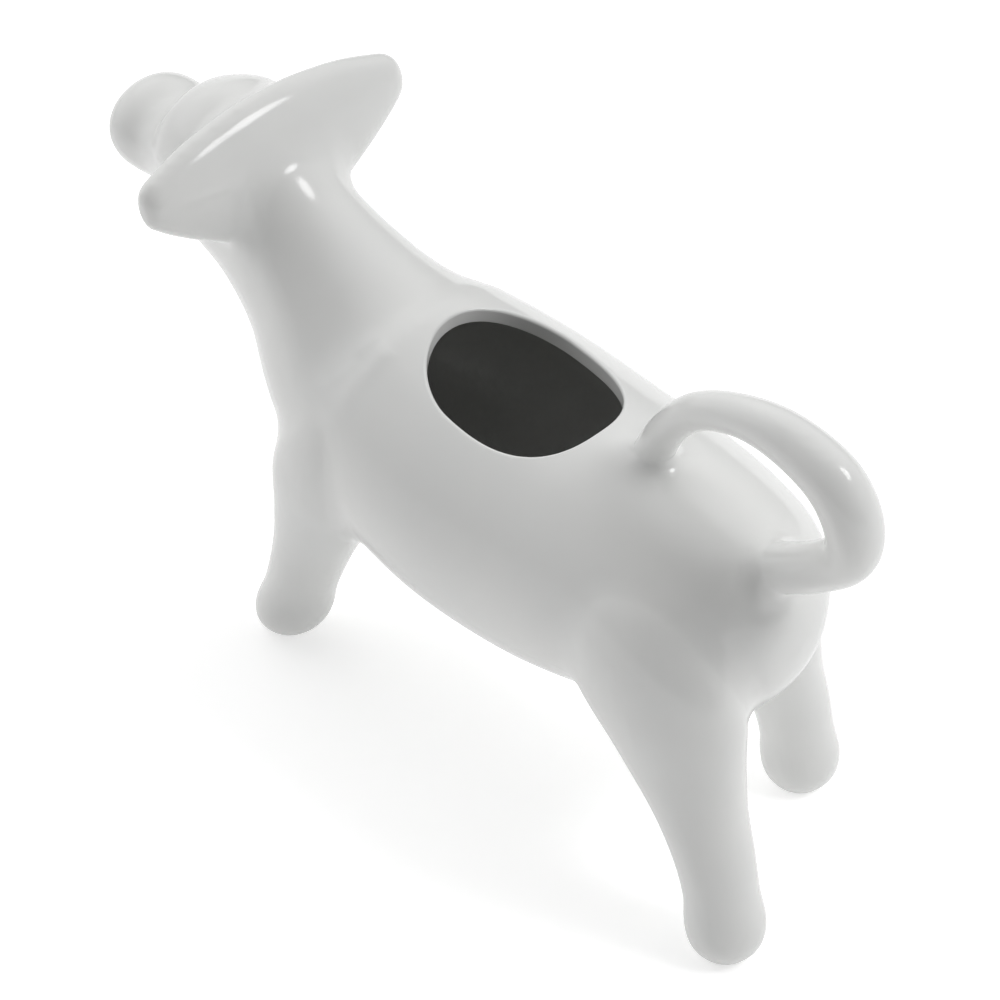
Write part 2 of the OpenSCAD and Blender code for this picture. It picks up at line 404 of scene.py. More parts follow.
@dataclass(frozen=True)
class Opening:
    """Sizes of the filling hole in the back, in millimetres.

    Its front half is round and its rear half squarer, by the exponent called square.
    """

    length: float = 37.0
    width: float = 28.0
    square: float = 2.4
    share: float = 0.76
    front_share: float = 0.41
    turn: float = 6.0
    edge_radius: float = 0.55
    edge_steps: int = 6
    overlap: float = 0.3
    points: int = 160

    def outline(self, trunk: Trunk, angle: float, grow: float = 0.0) -> Vector:
        """A point of the hole's outline on the plan.

        Args:
            trunk: the trunk that it is cut in.
            angle: angle round the hole.
            grow: how far outside the outline.

        Returns:
            The point from the rump, with no height.
        """
        c, s = math.cos(angle), math.sin(angle)
        power = 2 / self.square if c < 0 else 1.0
        reach = self.length * ((1 - self.front_share) if c < 0 else self.front_share) + grow
        flat = Vector((reach * math.copysign(abs(c) ** power, c),
                       (self.width / 2 + grow) * math.copysign(abs(s) ** power, s), 0))
        return (Matrix.Rotation(-math.radians(self.turn), 3, "Z") @ flat
                + Vector((self.share * trunk.length, 0, 0)))

    def plug(self, trunk: Trunk, grow: float = 0.0) -> Solid:
        """The solid that is cut out of the back."""
        return roll("hole_cutter", 2, self.points, lambda s, a: jug_place(
            self.outline(trunk, a, grow) + Vector((0, 0, trunk.middle_z + s * trunk.height))))

    def worn_edge(self, trunk: Trunk, jug: Solid) -> Solid:
        """The sliver that the sponge takes off the edge of the hole to round it.

        Args:
            trunk: the trunk that the hole is cut in.
            jug: the solid jug, whose back the sliver follows.

        Returns:
            The sliver, one closed ring.
        """
        back = tree_of(jug)
        # The back is met from this height, and the outline's course seen over this angle.
        sky, beside = 150.0, 0.02

        @cache
        def section(share: float) -> tuple[Vector, ...]:
            angle = share * math.tau
            here = jug_place(self.outline(trunk, angle))
            ahead = self.outline(trunk, angle + beside) - self.outline(trunk, angle - beside)
            out = Vector((ahead.y, -ahead.x, 0)).normalized()
            spot, normal, _, _ = back.ray_cast(Vector((here.x, here.y, sky)) * MM, DOWN)
            here.z = spot.z / MM
            slope = Vector((out.x, out.y, -out.dot(normal) / normal.z)).normalized()
            half = slope.angle(DOWN) / 2
            touch = self.edge_radius / math.tan(half)
            middle = here + (slope + DOWN).normalized() * self.edge_radius / math.sin(half)
            first, last = here + slope * touch - middle, here + DOWN * touch - middle
            arc = [middle + first.lerp(last, k / self.edge_steps).normalized() * self.edge_radius
                   for k in range(self.edge_steps + 1)]
            clear = self.edge_radius * 2
            return (arc[0] + normal * clear + slope * self.overlap, *arc,
                    arc[-1] - out * clear - Vector((0, 0, self.overlap)),
                    here - out * clear + Vector((0, 0, clear)))

        last = len(section(0.0))
        return roll("worn_edge", self.points, last, lambda s, a: section(
            s % 1.0)[round(a / math.tau * last) % last])


@dataclass(frozen=True)
class Head:
    """Sizes of the skull, the muzzle, the mouth and the ear blade, in millimetres."""

    length: float = 44.0
    width: float = 27.0
    height: float = 27.0
    turn: float = 4.0
    mouth_width: float = 9.0
    mouth_height: float = 7.0
    skull_x_share: float = 0.74
    skull_z_share: float = 0.88
    ear_span: float = 57.5
    ear_height: float = 22.0
    ear_thick: float = 9.6
    ear_lean: float = 14.0
    blade_share: float = 0.14
    part_y: float = 13.2
    part_reach: float = 60.0
    skull_rings: int = 10
    skull_points: int = 80
    mouth_points: int = 64
    blade_rings: int = 24
    blade_points: int = 64
    # Shares of the length, then of the height, then half width, reach up and reach down.
    shares: tuple[Row, ...] = (
        (0.000, 0.00, 0.004, 0.004, 0.004),
        (0.015, 0.00, 0.180, 0.150, 0.220),
        (0.070, 0.00, 0.320, 0.260, 0.400),
        (0.170, 0.00, 0.420, 0.420, 0.520),
        (0.310, -0.04, 0.480, 0.500, 0.560),
        (0.470, -0.10, 0.470, 0.420, 0.490),
        (0.610, -0.20, 0.400, 0.265, 0.430),
        (0.730, -0.27, 0.360, 0.215, 0.380),
        (0.840, -0.31, 0.370, 0.280, 0.360),
        (0.915, -0.33, 0.352, 0.282, 0.342),
        (0.965, -0.34, 0.298, 0.240, 0.290),
        (0.992, -0.346, 0.205, 0.170, 0.190),
        (1.000, -0.35, 0.004, 0.004, 0.004),
    )
    # Shares of half the span, then rise, thickness, reach up and reach down, the same both sides.
    ear_shares: tuple[Row, ...] = (
        (0.00, 0.18, 0.52, 0.52, 0.60),
        (0.20, 0.18, 0.52, 0.51, 0.59),
        (0.42, 0.17, 0.50, 0.48, 0.56),
        (0.62, 0.19, 0.46, 0.41, 0.44),
        (0.82, 0.23, 0.39, 0.29, 0.30),
        (0.94, 0.26, 0.31, 0.20, 0.20),
        (0.99, 0.27, 0.17, 0.11, 0.14),
        (1.00, 0.27, 0.01, 0.01, 0.01),
    )

    def skull_x(self, trunk: Trunk) -> float:
        """Place of the back of the skull along the jug."""
        return trunk.length + self.skull_x_share * trunk.neck_reach

    def skull_z(self, trunk: Trunk) -> float:
        """Height of the skull's middle."""
        return trunk.shoulder_z + self.skull_z_share * trunk.neck_rise

    def turned(self, trunk: Trunk, point: Vector) -> Vector:
        """The point after the head is turned to the cow's right about the skull's back."""
        pivot = Vector((self.skull_x(trunk), 0, 0))
        return Matrix.Rotation(-math.radians(self.turn), 3, "Z") @ (point - pivot) + pivot

    def skull(self, trunk: Trunk, inset: float) -> Solid:
        """The skull and muzzle as one roll.

        Args:
            trunk: the trunk that carries the head.
            inset: depth under the outer face.

        Returns:
            The closed roll.
        """
        rows = tuple(
            (self.skull_x(trunk) + inset + x * (self.length - 2 * inset),
             self.skull_z(trunk) + z * self.height, w * (self.width - 2 * inset),
             up * (self.height - 2 * inset), down * (self.height - 2 * inset))
            for x, z, w, up, down in self.shares)
        ring = rings_of(rows)
        return roll("skull", (len(rows) - 1) * self.skull_rings, self.skull_points,
                    lambda s, a: jug_place(self.turned(trunk, on_ring(ring(s), a))))

    def mouth(self, trunk: Trunk) -> Solid:
        """The bore that is cut through the lips."""
        lips_z = self.skull_z(trunk) + self.shares[-1][1] * self.height
        tip = self.skull_x(trunk) + self.length
        # The bore flares where it leaves the lips: places from the tip, and how much wider.
        steps = ((-9.0, 0.0), (-1.9, 0.0), (-1.55, 0.04), (-1.2, 0.16), (-0.95, 0.34),
                 (-0.8, 0.6), (-0.75, 0.9), (-0.75, 2.0), (3.0, 3.0))

        def place(share: float, angle: float) -> Vector:
            x, wider = steps[round(share * (len(steps) - 1))]
            return jug_place(self.turned(trunk, Vector(
                (tip + x, (self.mouth_width / 2 + wider) * math.cos(angle),
                 lips_z + (self.mouth_height / 2 + wider) * math.sin(angle)))))

        return roll("mouth_cutter", len(steps) - 1, self.mouth_points, place)

    def blade(self, trunk: Trunk) -> Solid:
        """Both ears and the crown between them as one leaning blade."""
        last = len(self.ear_shares) - 1
        lean = math.radians(self.ear_lean)
        middle = Vector((self.skull_x(trunk) + self.blade_share * self.length, 0,
                         self.skull_z(trunk)))

        def place(share: float, angle: float) -> Vector:
            t = (2 * share - 1) * last
            reach, rise, thick, up, down = along(self.ear_shares, abs(t))
            w = thick * math.sin(angle) * self.ear_thick
            h = (up if math.cos(angle) > 0 else down) * math.cos(angle) * self.ear_height
            return jug_place(self.turned(trunk, middle + Vector(
                (w * math.cos(lean) + h * math.sin(lean),
                 math.copysign(reach, t) * self.ear_span / 2,
                 rise * self.ear_height - w * math.sin(lean) + h * math.cos(lean)))))

        return roll("ear_blade", last * self.blade_rings, self.blade_points, place)

    def side_block(self, trunk: Trunk, side: int) -> Solid:
        """The space beside the skull that holds one ear.

        Args:
            trunk: the trunk that carries the head.
            side: 1 for the cow's left, -1 for its right.

        Returns:
            The block, turned with the head.
        """
        near, far = sorted((side * self.part_y, side * (self.part_y + self.ear_span)))
        low = Vector((-self.part_reach, near, -self.part_reach))
        high = Vector((self.part_reach, far, self.part_reach))
        place = (Matrix.Translation(jug_place(Vector((self.skull_x(trunk), 0,
                                                      self.skull_z(trunk)))))
                 @ Matrix.Rotation(-math.radians(self.turn), 4, "Z"))
        return block("ear_block", low, high, place)


@dataclass(frozen=True)
class Leg:
    """Sizes of one leg with its haunch, in millimetres, from the rump.

    A straight leg leans evenly from foot to hip; the others stand upright below and lean above.
    """

    name: str
    foot: tuple[float, float]
    hip_share: tuple[float, float, float]
    haunch_length: float
    foot_thick: float = 14.2
    haunch_thick: float = 19.0
    straight: float = 0.0
    # The foot starts this far under the table, where it is cut flat, and is out of it over the
    # first twelfth of the leg.
    sunk: float = 0.8
    sunk_rate: float = 12.0
    rings: int = 9
    points: int = 64
    # Shares of the height, of the lean towards the hip, of the swell to the haunch, and thickness.
    stations: tuple[Row, ...] = (
        (0.000, 0.00, 0.00, 0.58),
        (0.018, 0.00, 0.00, 0.80),
        (0.050, 0.00, 0.00, 0.95),
        (0.100, 0.01, 0.00, 1.00),
        (0.180, 0.06, 0.00, 0.94),
        (0.290, 0.16, 0.05, 0.96),
        (0.410, 0.33, 0.18, 1.00),
        (0.550, 0.57, 0.57, 1.02),
        (0.690, 0.80, 0.96, 1.05),
        (0.830, 0.94, 1.00, 1.00),
        (0.940, 1.00, 1.00, 0.74),
        (0.990, 1.00, 1.00, 0.38),
        (1.000, 1.00, 1.00, 0.02),
    )

    def blank(self, trunk: Trunk, grow: float = 0.0) -> Solid:
        """The whole leg up to its hip inside the trunk.

        Args:
            trunk: the trunk that it is luted to.
            grow: how much larger than the real leg all round.

        Returns:
            The closed leg.
        """
        share_x, share_y, share_z = self.hip_share
        hip = Vector((share_x * trunk.length, share_y * trunk.width / 2,
                      trunk.middle_z + share_z * trunk.height))
        foot = Vector((self.foot[0], self.foot[1], 0))
        last = len(self.stations) - 1
        ring = cache(lambda s: along(self.stations, s * last))

        def place(share: float, angle: float) -> Vector:
            high, lean, swell, full = ring(share)
            lean += (high - lean) * self.straight
            rx = (self.foot_thick + (self.haunch_length - self.foot_thick) * swell) / 2 * full
            ry = (self.foot_thick + (self.haunch_thick - self.foot_thick) * swell) / 2 * full
            spine = foot.lerp(hip, lean)
            z = (high * hip.z + (2 * share - 1) * grow
                 - self.sunk * max(0.0, 1 - self.sunk_rate * share))
            return jug_place(Vector((spine.x + (rx + grow) * math.cos(angle),
                                     spine.y + (ry + grow) * math.sin(angle), z)))

        return roll(self.name + "_blank", last * self.rings, self.points, place)


@dataclass(frozen=True)
class Tail:
    """Sizes of the tail that curls over and back into a handle, in millimetres."""

    thick: float = 9.6
    reach: float = 48.6
    rise: float = 47.5
    root_share: float = 0.42
    rings: int = 12
    points: int = 48
    # Shares of the reach back, of the rise, and of the thickness.
    shares: tuple[Row, ...] = (
        (-0.02, 0.34, 0.44),
        (0.04, 0.49, 0.38),
        (0.12, 0.69, 0.34),
        (0.25, 0.860, 0.345),
        (0.44, 0.965, 0.38),
        (0.64, 0.995, 0.46),
        (0.84, 0.940, 0.52),
        (0.94, 0.805, 0.52),
        (0.935, 0.65, 0.48),
        (0.80, 0.50, 0.46),
        (0.63, 0.375, 0.46),
        (0.48, 0.27, 0.48),
    )

    def rows(self, trunk: Trunk) -> tuple[Row, ...]:
        """Stations of x, z and half thickness, from the rump."""
        root = self.root_share * trunk.length
        return tuple((root - x * self.reach, trunk.middle_z + z * self.rise, r * self.thick)
                     for x, z, r in self.shares)

    def back_x(self, trunk: Trunk) -> float:
        """How far back the tail reaches."""
        return min(x - r for x, _, r in self.rows(trunk))

    def blank(self, trunk: Trunk, grow: float = 0.0) -> Solid:
        """The tail as one bent roll.

        Args:
            trunk: the trunk that it is luted to.
            grow: how much thicker than the real tail.

        Returns:
            The closed roll.
        """
        rows = self.rows(trunk)
        ring = rings_of(rows)

        def place(share: float, angle: float) -> Vector:
            x, z, r, tilt = ring(share)
            return jug_place(on_ring((x, z, r + grow, r + grow, r + grow, tilt), angle))

        return roll("tail_blank", (len(rows) - 1) * self.rings, self.points, place)


TRUNK = Trunk()
OPENING = Opening()
HEAD = Head()
TAIL = Tail()
LEGS = (
    Leg("front_left_leg", (107.0, 16.25), (1.00, 0.60, 0.26), 25.0, straight=1.0),
    Leg("front_right_leg", (95.0, -16.25), (1.00, -0.60, 0.26), 25.0, straight=1.0),
    Leg("rear_left_leg", (-3.0, 19.25), (0.256, 0.58, 0.30), 34.5, haunch_thick=21.0),
    Leg("rear_right_leg", (14.0, -19.25), (0.326, -0.42, 0.30), 34.5, haunch_thick=21.0),
)
MIDDLE = Vector((
    (TAIL.back_x(TRUNK) + HEAD.skull_x(TRUNK)
     + HEAD.length * math.cos(math.radians(HEAD.turn))) / 2,
    -HEAD.blade_share * HEAD.length * math.sin(math.radians(HEAD.turn)), 0.0))


def jug_place(point: Vector) -> Vector:
    """A point given from the rump, moved so that the jug's middle is the origin."""
    return point - MIDDLE


@dataclass(frozen=True)
class Join:
    """One join that is filled with wet clay, and how far the clay is wiped, in millimetres.

    A light join is wiped gently, but takes the ridges down as well.
    """

    first: str
    second: str
    reach: float
    light: bool = False


@dataclass(frozen=True)
class Seams:
    """Where the skin is parted, in millimetres from the jug's middle and in radians.

    Each leg and the tail take the clay within a margin of their own form, but nothing from the
    core inside the run's wall or from the rim of the hole.
    """

    leg_margin: float = 3.6
    tail_margin: float = 2.6
    rim_margin: float = 2.0
    core_inset: float = 0.8
    shoulders: Row = (20.8, 0.0, 58.1)
    shoulders_tilt: float = math.radians(26.4)
    poll: Row = (57.95, 0.0, 81.75)
    poll_tilt: float = math.atan2(0.726, 0.689)
    far: float = 200.0
    table: Row = (150.0, 100.0, 20.0)

    def under_table(self) -> Solid:
        """The block that cuts the soles flat."""
        x, y, z = self.table
        return block("table", Vector((-x, -y, -z)), Vector((x, y, 0)))

    def ahead_of(self, name: str, spot: Row, tilt: float) -> Solid:
        """The space ahead of a seam through a spot, which leans back by the tilt."""
        return block(name, Vector((0, -self.far, -self.far)), Vector([self.far] * 3),
                     Matrix.Translation(Vector(spot)) @ Matrix.Rotation(-tilt, 4, "Y"))


class Jug:
    """The jug: lutes the blanks, hollows and softens the skin, and parts it into castings.

    The clay is wiped in rounds of many strokes, in full near a join and less further off. Then
    the whole jug gets a few last strokes.
    """

    net: float = 0.75
    hollow_end: float = 0.5
    rounds: int = 4
    strokes: int = 80
    last_strokes: int = 5
    stroke: float = 0.5
    fullness: float = 1.4
    light_share: float = 0.3
    levels: int = 20
    seams: Seams = Seams()
    joins: tuple[Join, ...] = (
        Join("front_left_leg", "run", 14.0),
        Join("front_right_leg", "run", 14.0),
        Join("rear_left_leg", "run", 14.0),
        Join("rear_right_leg", "run", 14.0),
        Join("tail", "run", 15.0),
        Join("skull", "run", 14.0),
        Join("blade", "run", 26.0),
        Join("blade", "skull", 8.0),
        Join("yoke", "run", 16.0, light=True),
    )

    def __init__(self) -> None:
        """Makes the blanks of all the castings."""
        self.blanks: dict[str, Solid] = {
            "run": TRUNK.run("run_blank", 0.0, TRUNK.poll_t),
            "skull": HEAD.skull(TRUNK, 0.0),
            "blade": HEAD.blade(TRUNK),
            "tail": TAIL.blank(TRUNK),
            "yoke": TRUNK.yoke(),
        }
        for leg in LEGS:
            self.blanks[leg.name] = leg.blank(TRUNK)

    def skin(self, lining: bpy.types.Material) -> Solid:
        """Joins the blanks, hollows them and rounds the edges.

        Args:
            lining: finish of the faces inside, painted darker grey as painted shade of the hollow.

        Returns:
            One closed skin, inside and out.
        """
        skin = self.luted()
        edge = OPENING.worn_edge(TRUNK, skin)
        hollows = (TRUNK.run("hollow", TRUNK.wall, TRUNK.poll_t - self.hollow_end),
                   HEAD.skull(TRUNK, TRUNK.wall))
        # The hollows carry the inside finish, whose darker grey is painted shade.
        for hollow in hollows:
            hollow.data.materials.append(lining)
        for tool in (*hollows, HEAD.mouth(TRUNK), OPENING.plug(TRUNK), edge):
            carve(skin, tool, Cut.TAKE)
            discard(tool)
        skin.data.set_sharp_from_angle(angle=CREASE)
        return skin

    def luted(self) -> Solid:
        """Joins the blanks and wipes wet clay into every join.

        All but the light joins only gain clay: a round of wiping keeps what it adds and puts
        back what it takes from the ridges.

        Returns:
            The solid jug.
        """
        jug = double(self.blanks["run"], "skin")
        for name, blank in self.blanks.items():
            if name != "run":
                carve(jug, blank, Cut.JOIN)
        remesh(jug, self.net)
        free = self.mark_joins(jug)[:, None]
        work = jug.modifiers.new("wipe", "SMOOTH")
        work.factor = self.stroke
        work.iterations = self.strokes
        work.vertex_group = "joins"
        mesh = jug.data
        for _ in range(self.rounds):
            bpy.context.view_layer.update()
            wiped = jug.evaluated_get(bpy.context.evaluated_depsgraph_get()).data
            before, after = read(mesh.vertices, "co", 3), read(wiped.vertices, "co", 3)
            normals = read(mesh.vertex_normals, "vector", 3)
            gain = ((after - before) * normals).sum(axis=1, keepdims=True)
            mesh.vertices.foreach_set("co", np.where((gain > 0) | free, after, before).ravel())
            mesh.update()
        work.vertex_group = ""
        work.iterations = self.last_strokes
        return settle(jug)

    def mark_joins(self, jug: Solid) -> np.ndarray:
        """Marks how strongly each point is wiped, by its distance from both sides of a join.

        Args:
            jug: the joined blanks.

        Returns:
            Whether each point belongs to a light join most of all.
        """
        group = jug.vertex_groups.new(name="joins")
        trees = {name: tree_of(blank) for name, blank in self.blanks.items()}
        spots = read(jug.data.vertices, "co", 3)
        wiping, free = np.zeros(len(spots)), np.zeros(len(spots), dtype=bool)
        for join in self.joins:
            reach = join.reach * MM
            low, high = box_of(self.blanks[join.first])
            for i in np.flatnonzero(((spots > low - reach) & (spots < high + reach)).all(axis=1)):
                far = sum(trees[name].find_nearest(spots[i])[3]
                          for name in (join.first, join.second))
                share = min(1.0, self.fullness * (1 - far / reach))
                share *= self.light_share if join.light else 1.0
                if share > wiping[i]:
                    wiping[i], free[i] = share, join.light
        for level in range(1, self.levels + 1):
            ring = np.flatnonzero(np.ceil(wiping * self.levels) == level)
            group.add(ring.tolist(), level / self.levels, "REPLACE")
        return free

    def parted(self, skin: Solid) -> dict[str, Solid]:
        """Parts the skin into the ten castings.

        Args:
            skin: the whole skin, which is used up.

        Returns:
            The closed pieces by the names of the nodes that they replace.
        """
        rest = double(skin, "rest")
        seams = self.seams
        table = seams.under_table()
        carve(rest, table, Cut.TAKE)
        core = TRUNK.run("core", seams.core_inset, TRUNK.poll_t)
        pieces: dict[str, Solid] = {}
        regions = [(leg.name, leg.blank(TRUNK, seams.leg_margin)) for leg in LEGS]
        tail = TAIL.blank(TRUNK, seams.tail_margin)
        rim = OPENING.plug(TRUNK, seams.rim_margin)
        carve(tail, rim, Cut.TAKE)
        regions.append(("tail_handle", tail))
        for name, region in regions:
            carve(region, core, Cut.TAKE)
            pieces[name] = carve(double(rest, name), region, Cut.KEEP)
            carve(rest, region, Cut.TAKE)
            discard(region)
        ahead = seams.ahead_of("ahead", seams.shoulders, seams.shoulders_tilt)
        before = seams.ahead_of("before", seams.poll, seams.poll_tilt)
        for name, space in (("body_shell", ahead), ("neck", before)):
            pieces[name] = carve(double(rest, name), space, Cut.TAKE)
            carve(rest, space, Cut.KEEP)
        for name, side in (("left_ear", 1), ("right_ear", -1)):
            beside = HEAD.side_block(TRUNK, side)
            pieces[name] = carve(double(rest, name), beside, Cut.KEEP)
            carve(rest, beside, Cut.TAKE)
            discard(beside)
        pieces["head"] = double(rest, "head")
        discard(rest, table, core, rim, ahead, before)
        for piece in pieces.values():
            knit(piece)
        return pieces


def box_of(obj: Solid) -> tuple[np.ndarray, np.ndarray]:
    """Lowest and highest corners of an object's mesh."""
    spots = read(obj.data.vertices, "co", 3)
    return spots.min(axis=0), spots.max(axis=0)


class Gloss:
    """The skin's own normals, given to the castings so that no seam shows in the glaze.

    They are given to points within a short reach of the skin, where they agree with the face.
    """

    reach: float = 0.004 * MM
    least_cosine: float = 0.7

    def __init__(self, skin: Solid) -> None:
        """Learns the normal at every point of the skin."""
        mesh = skin.data
        self.faces = [tuple(face.vertices) for face in mesh.polygons]
        self.spots = [vert.co.copy() for vert in mesh.vertices]
        self.tree = BVHTree.FromPolygons(self.spots, self.faces, epsilon=0.0)
        self.normals = read(mesh.vertex_normals, "vector", 3)
        edges = read(mesh.edges, "vertices", 2).astype(int)
        sharp = [edge.use_edge_sharp for edge in mesh.edges]
        self.normals[edges[sharp].ravel()] = 0
        self.places = {spot.tobytes(): i
                       for i, spot in enumerate(read(mesh.vertices, "co", 3))}

    def normal(self, spot: np.ndarray) -> np.ndarray:
        """The skin's normal at a point, or zeros on a sharp edge and off the skin."""
        known = self.places.get(spot.tobytes())
        if known is not None:
            return self.normals[known]
        near, _, face, far = self.tree.find_nearest(spot)
        ring = list(self.faces[face])
        if far > self.reach or not self.normals[ring].any(axis=1).all():
            return np.zeros(3)
        total = np.array(poly_3d_calc([self.spots[i] for i in ring], near)) @ self.normals[ring]
        return total / np.linalg.norm(total)

    def share(self, piece: Solid) -> None:
        """Sets a casting's corner normals: the skin's where it has one, or else its own.

        Args:
            piece: one parted casting.
        """
        mesh = piece.data
        mesh.shade_smooth()
        mesh.set_sharp_from_angle(angle=CREASE)
        own = read(mesh.corner_normals, "vector", 3)
        corner = read(mesh.loops, "vertex_index", 1)
        face = np.repeat(np.arange(len(mesh.polygons)), read(mesh.polygons, "loop_total", 1))
        flat = read(mesh.polygons, "normal", 3)[face]
        soft = np.array([self.normal(spot) for spot in read(mesh.vertices, "co", 3)])[corner]
        agree = (soft * flat).sum(axis=1, keepdims=True) > self.least_cosine
        mesh.normals_split_custom_set(np.where(agree, soft, own))


# A sole's faces look down and lie at the table. They take the last finish of three.
SOLE_NORMAL_Z = -0.9
SOLE_TOP = 0.05 * MM
SOLE_FINISH = 2


def dress(piece: Solid, finishes: Sequence[bpy.types.Material]) -> None:
    """Gives each face its finish and keeps only the finishes in use.

    Args:
        piece: one casting, whose faces inside are marked with 1.
        finishes: the glaze outside, the one inside, painted darker as painted shade, and the bare
            clay of a sole.
    """
    mesh = piece.data
    index = read(mesh.polygons, "material_index", 1)
    underneath = read(mesh.polygons, "normal", 3)[:, 2] < SOLE_NORMAL_Z
    on_table = read(mesh.polygons, "center", 3)[:, 2] < SOLE_TOP
    index[underneath & on_table] = SOLE_FINISH
    used = np.unique(index)
    mesh.materials.clear()
    for i in used:
        mesh.materials.append(finishes[i])
    mesh.polygons.foreach_set("material_index", np.searchsorted(used, index).astype(np.int32))
    LOG.info("%s: %d faces, finishes %s", piece.name, len(mesh.polygons), used)


def linear(code: str) -> tuple[float, float, float, float]:
    """Turns an sRGB hex value into linear colour.

    Args:
        code: six hex digits after a hash.

    Returns:
        Linear red, green, blue and full opacity.
    """
    parts = [int(code[i:i + 2], 16) / 255 for i in (1, 3, 5)]
    return tuple(c / 12.92 if c <= 0.04045 else ((c + 0.055) / 1.055) ** 2.4
                 for c in parts) + (1.0,)


def node(material: bpy.types.Material, kind: str, settings: dict[str, object] | None = None,
         links: dict[str, bpy.types.NodeSocket] | None = None) -> bpy.types.Node:
    """Adds a shader node.

    Args:
        material: the material or world that gets it.
        kind: the node's type.
        settings: values of its inputs, or of its own settings where no input has that name.
        links: output sockets for its inputs.

    Returns:
        The node.
    """
    made = material.node_tree.nodes.new(kind)
    for name, value in (settings or {}).items():
        if name in made.inputs or name.isdigit():
            made.inputs[int(name) if name.isdigit() else name].default_value = value
        else:
            setattr(made, name, value)
    for name, socket in (links or {}).items():
        material.node_tree.links.new(
            socket, made.inputs[int(name)] if name.isdigit() else made.inputs[name])
    return made


def bare_material(name: str) -> bpy.types.Material:
    """An empty node material."""
    material = bpy.data.materials.new(name)
    material.use_nodes = True
    material.node_tree.nodes.clear()
    return material


@dataclass(frozen=True)
class GlazedPorcelain:
    """Slip-cast porcelain under a clear glaze.

    The clay is cool white. The glaze gives a clean, slightly soft gloss, and lies unevenly by a
    few hundredths of a millimetre, so reflections bend a little.
    """

    name: str = "porcelain_clear_glazed"
    thin: str = "#F0F0EE"
    pooled: str = "#E9EAE9"
    roughness: float = 0.13
    ior: float = 1.5
    pool_mm: float = 22.0
    peel_mm: float = 3.0
    peel_depth_mm: float = 0.05
    peel_strength: float = 0.12
    spread: tuple[float, float] = (-0.02, 0.03)

    def material(self) -> bpy.types.Material:
        """Builds the finish."""
        m = bare_material(self.name)
        coords = node(m, "ShaderNodeTexCoord")
        # Noise scale is one feature per unit, so a feature of so many mm is 1000 over that size.
        pools = node(m, "ShaderNodeTexNoise", {"Scale": 1000 / self.pool_mm, "Detail": 2.0},
                     {"Vector": coords.outputs["Object"]})
        peel = node(m, "ShaderNodeTexNoise", {"Scale": 1000 / self.peel_mm, "Detail": 1.0},
                    {"Vector": coords.outputs["Object"]})
        # Inputs 0, 6 and 7 of a colour mix are its share and its two colours.
        tint = node(m, "ShaderNodeMix", {"data_type": "RGBA", "6": linear(self.thin),
                                         "7": linear(self.pooled)}, {"0": pools.outputs["Fac"]})
        low, high = (self.roughness + change for change in self.spread)
        rough = node(m, "ShaderNodeMapRange", {"To Min": low, "To Max": high},
                     {"Value": pools.outputs["Fac"]})
        bump = node(m, "ShaderNodeBump", {"Strength": self.peel_strength,
                                          "Distance": self.peel_depth_mm * MM},
                    {"Height": peel.outputs["Fac"]})
        shader = node(m, "ShaderNodeBsdfPrincipled", {"IOR": self.ior},
                      {"Base Color": tint.outputs[2], "Roughness": rough.outputs["Result"],
                       "Normal": bump.outputs["Normal"]})
        node(m, "ShaderNodeOutputMaterial", None, {"Surface": shader.outputs["BSDF"]})
        return m


# Inside, the glaze is painted a darker grey: painted shade for the hollow, which gets light only
# through the hole.
INSIDE_PAINTED_SHADE = GlazedPorcelain("porcelain_inside_painted_shade", thin="#C6C6C4", pooled="#BCBDBB",
                                roughness=0.2)


@dataclass(frozen=True)
class BiscuitSole:
    """Bare fired porcelain, wiped clean of glaze so that the feet don't stick in the kiln.

    It is matt, faintly warm and has a fine sandy grain.
    """

    clay: str = "#E4E2DC"
    grain: str = "#D6D3CC"
    roughness: float = 0.8
    ior: float = 1.5
    grain_mm: float = 0.4
    grain_depth_mm: float = 0.05
    grain_strength: float = 0.4

    def material(self) -> bpy.types.Material:
        """Builds the finish."""
        m = bare_material("porcelain_biscuit_sole")
        coords = node(m, "ShaderNodeTexCoord")
        grain = node(m, "ShaderNodeTexNoise", {"Scale": 1000 / self.grain_mm, "Detail": 3.0},
                     {"Vector": coords.outputs["Object"]})
        tint = node(m, "ShaderNodeMix", {"data_type": "RGBA", "6": linear(self.clay),
                                         "7": linear(self.grain)}, {"0": grain.outputs["Fac"]})
        bump = node(m, "ShaderNodeBump", {"Strength": self.grain_strength,
                                          "Distance": self.grain_depth_mm * MM},
                    {"Height": grain.outputs["Fac"]})
        shader = node(m, "ShaderNodeBsdfPrincipled", {"Roughness": self.roughness,
                                                      "IOR": self.ior},
                      {"Base Color": tint.outputs[2], "Normal": bump.outputs["Normal"]})
        node(m, "ShaderNodeOutputMaterial", None, {"Surface": shader.outputs["BSDF"]})
        return m


def toward(azimuth: float, elevation: float) -> Vector:
    """The direction at an azimuth from ahead of the cow to its left, and an elevation."""
    a, e = math.radians(azimuth), math.radians(elevation)
    return Vector((math.cos(e) * math.cos(a), math.cos(e) * math.sin(a), math.sin(e)))


@dataclass(frozen=True)
class Glow:
    """One broad patch of a lit white wall or ceiling."""

    azimuth: float
    elevation: float
    strength: float


@dataclass(frozen=True)
class Lamp:
    """The round soft lamp at the window, in degrees, metres and watts."""

    azimuth: float = -149.0
    elevation: float = 49.0
    distance: float = 0.9
    size: float = 0.28
    power: float = 1.6
    aim_height: float = 0.06

    def hang(self) -> None:
        """Hangs the lamp so that it faces the jug."""
        direction = toward(self.azimuth, self.elevation)
        data = bpy.data.lights.new("window_lamp", "AREA")
        data.shape = "DISK"
        data.size = self.size
        data.energy = self.power
        made = placed("window_lamp", data)
        made.location = direction * self.distance + Vector((0, 0, self.aim_height))
        made.rotation_euler = direction.to_track_quat("Z", "Y").to_euler()


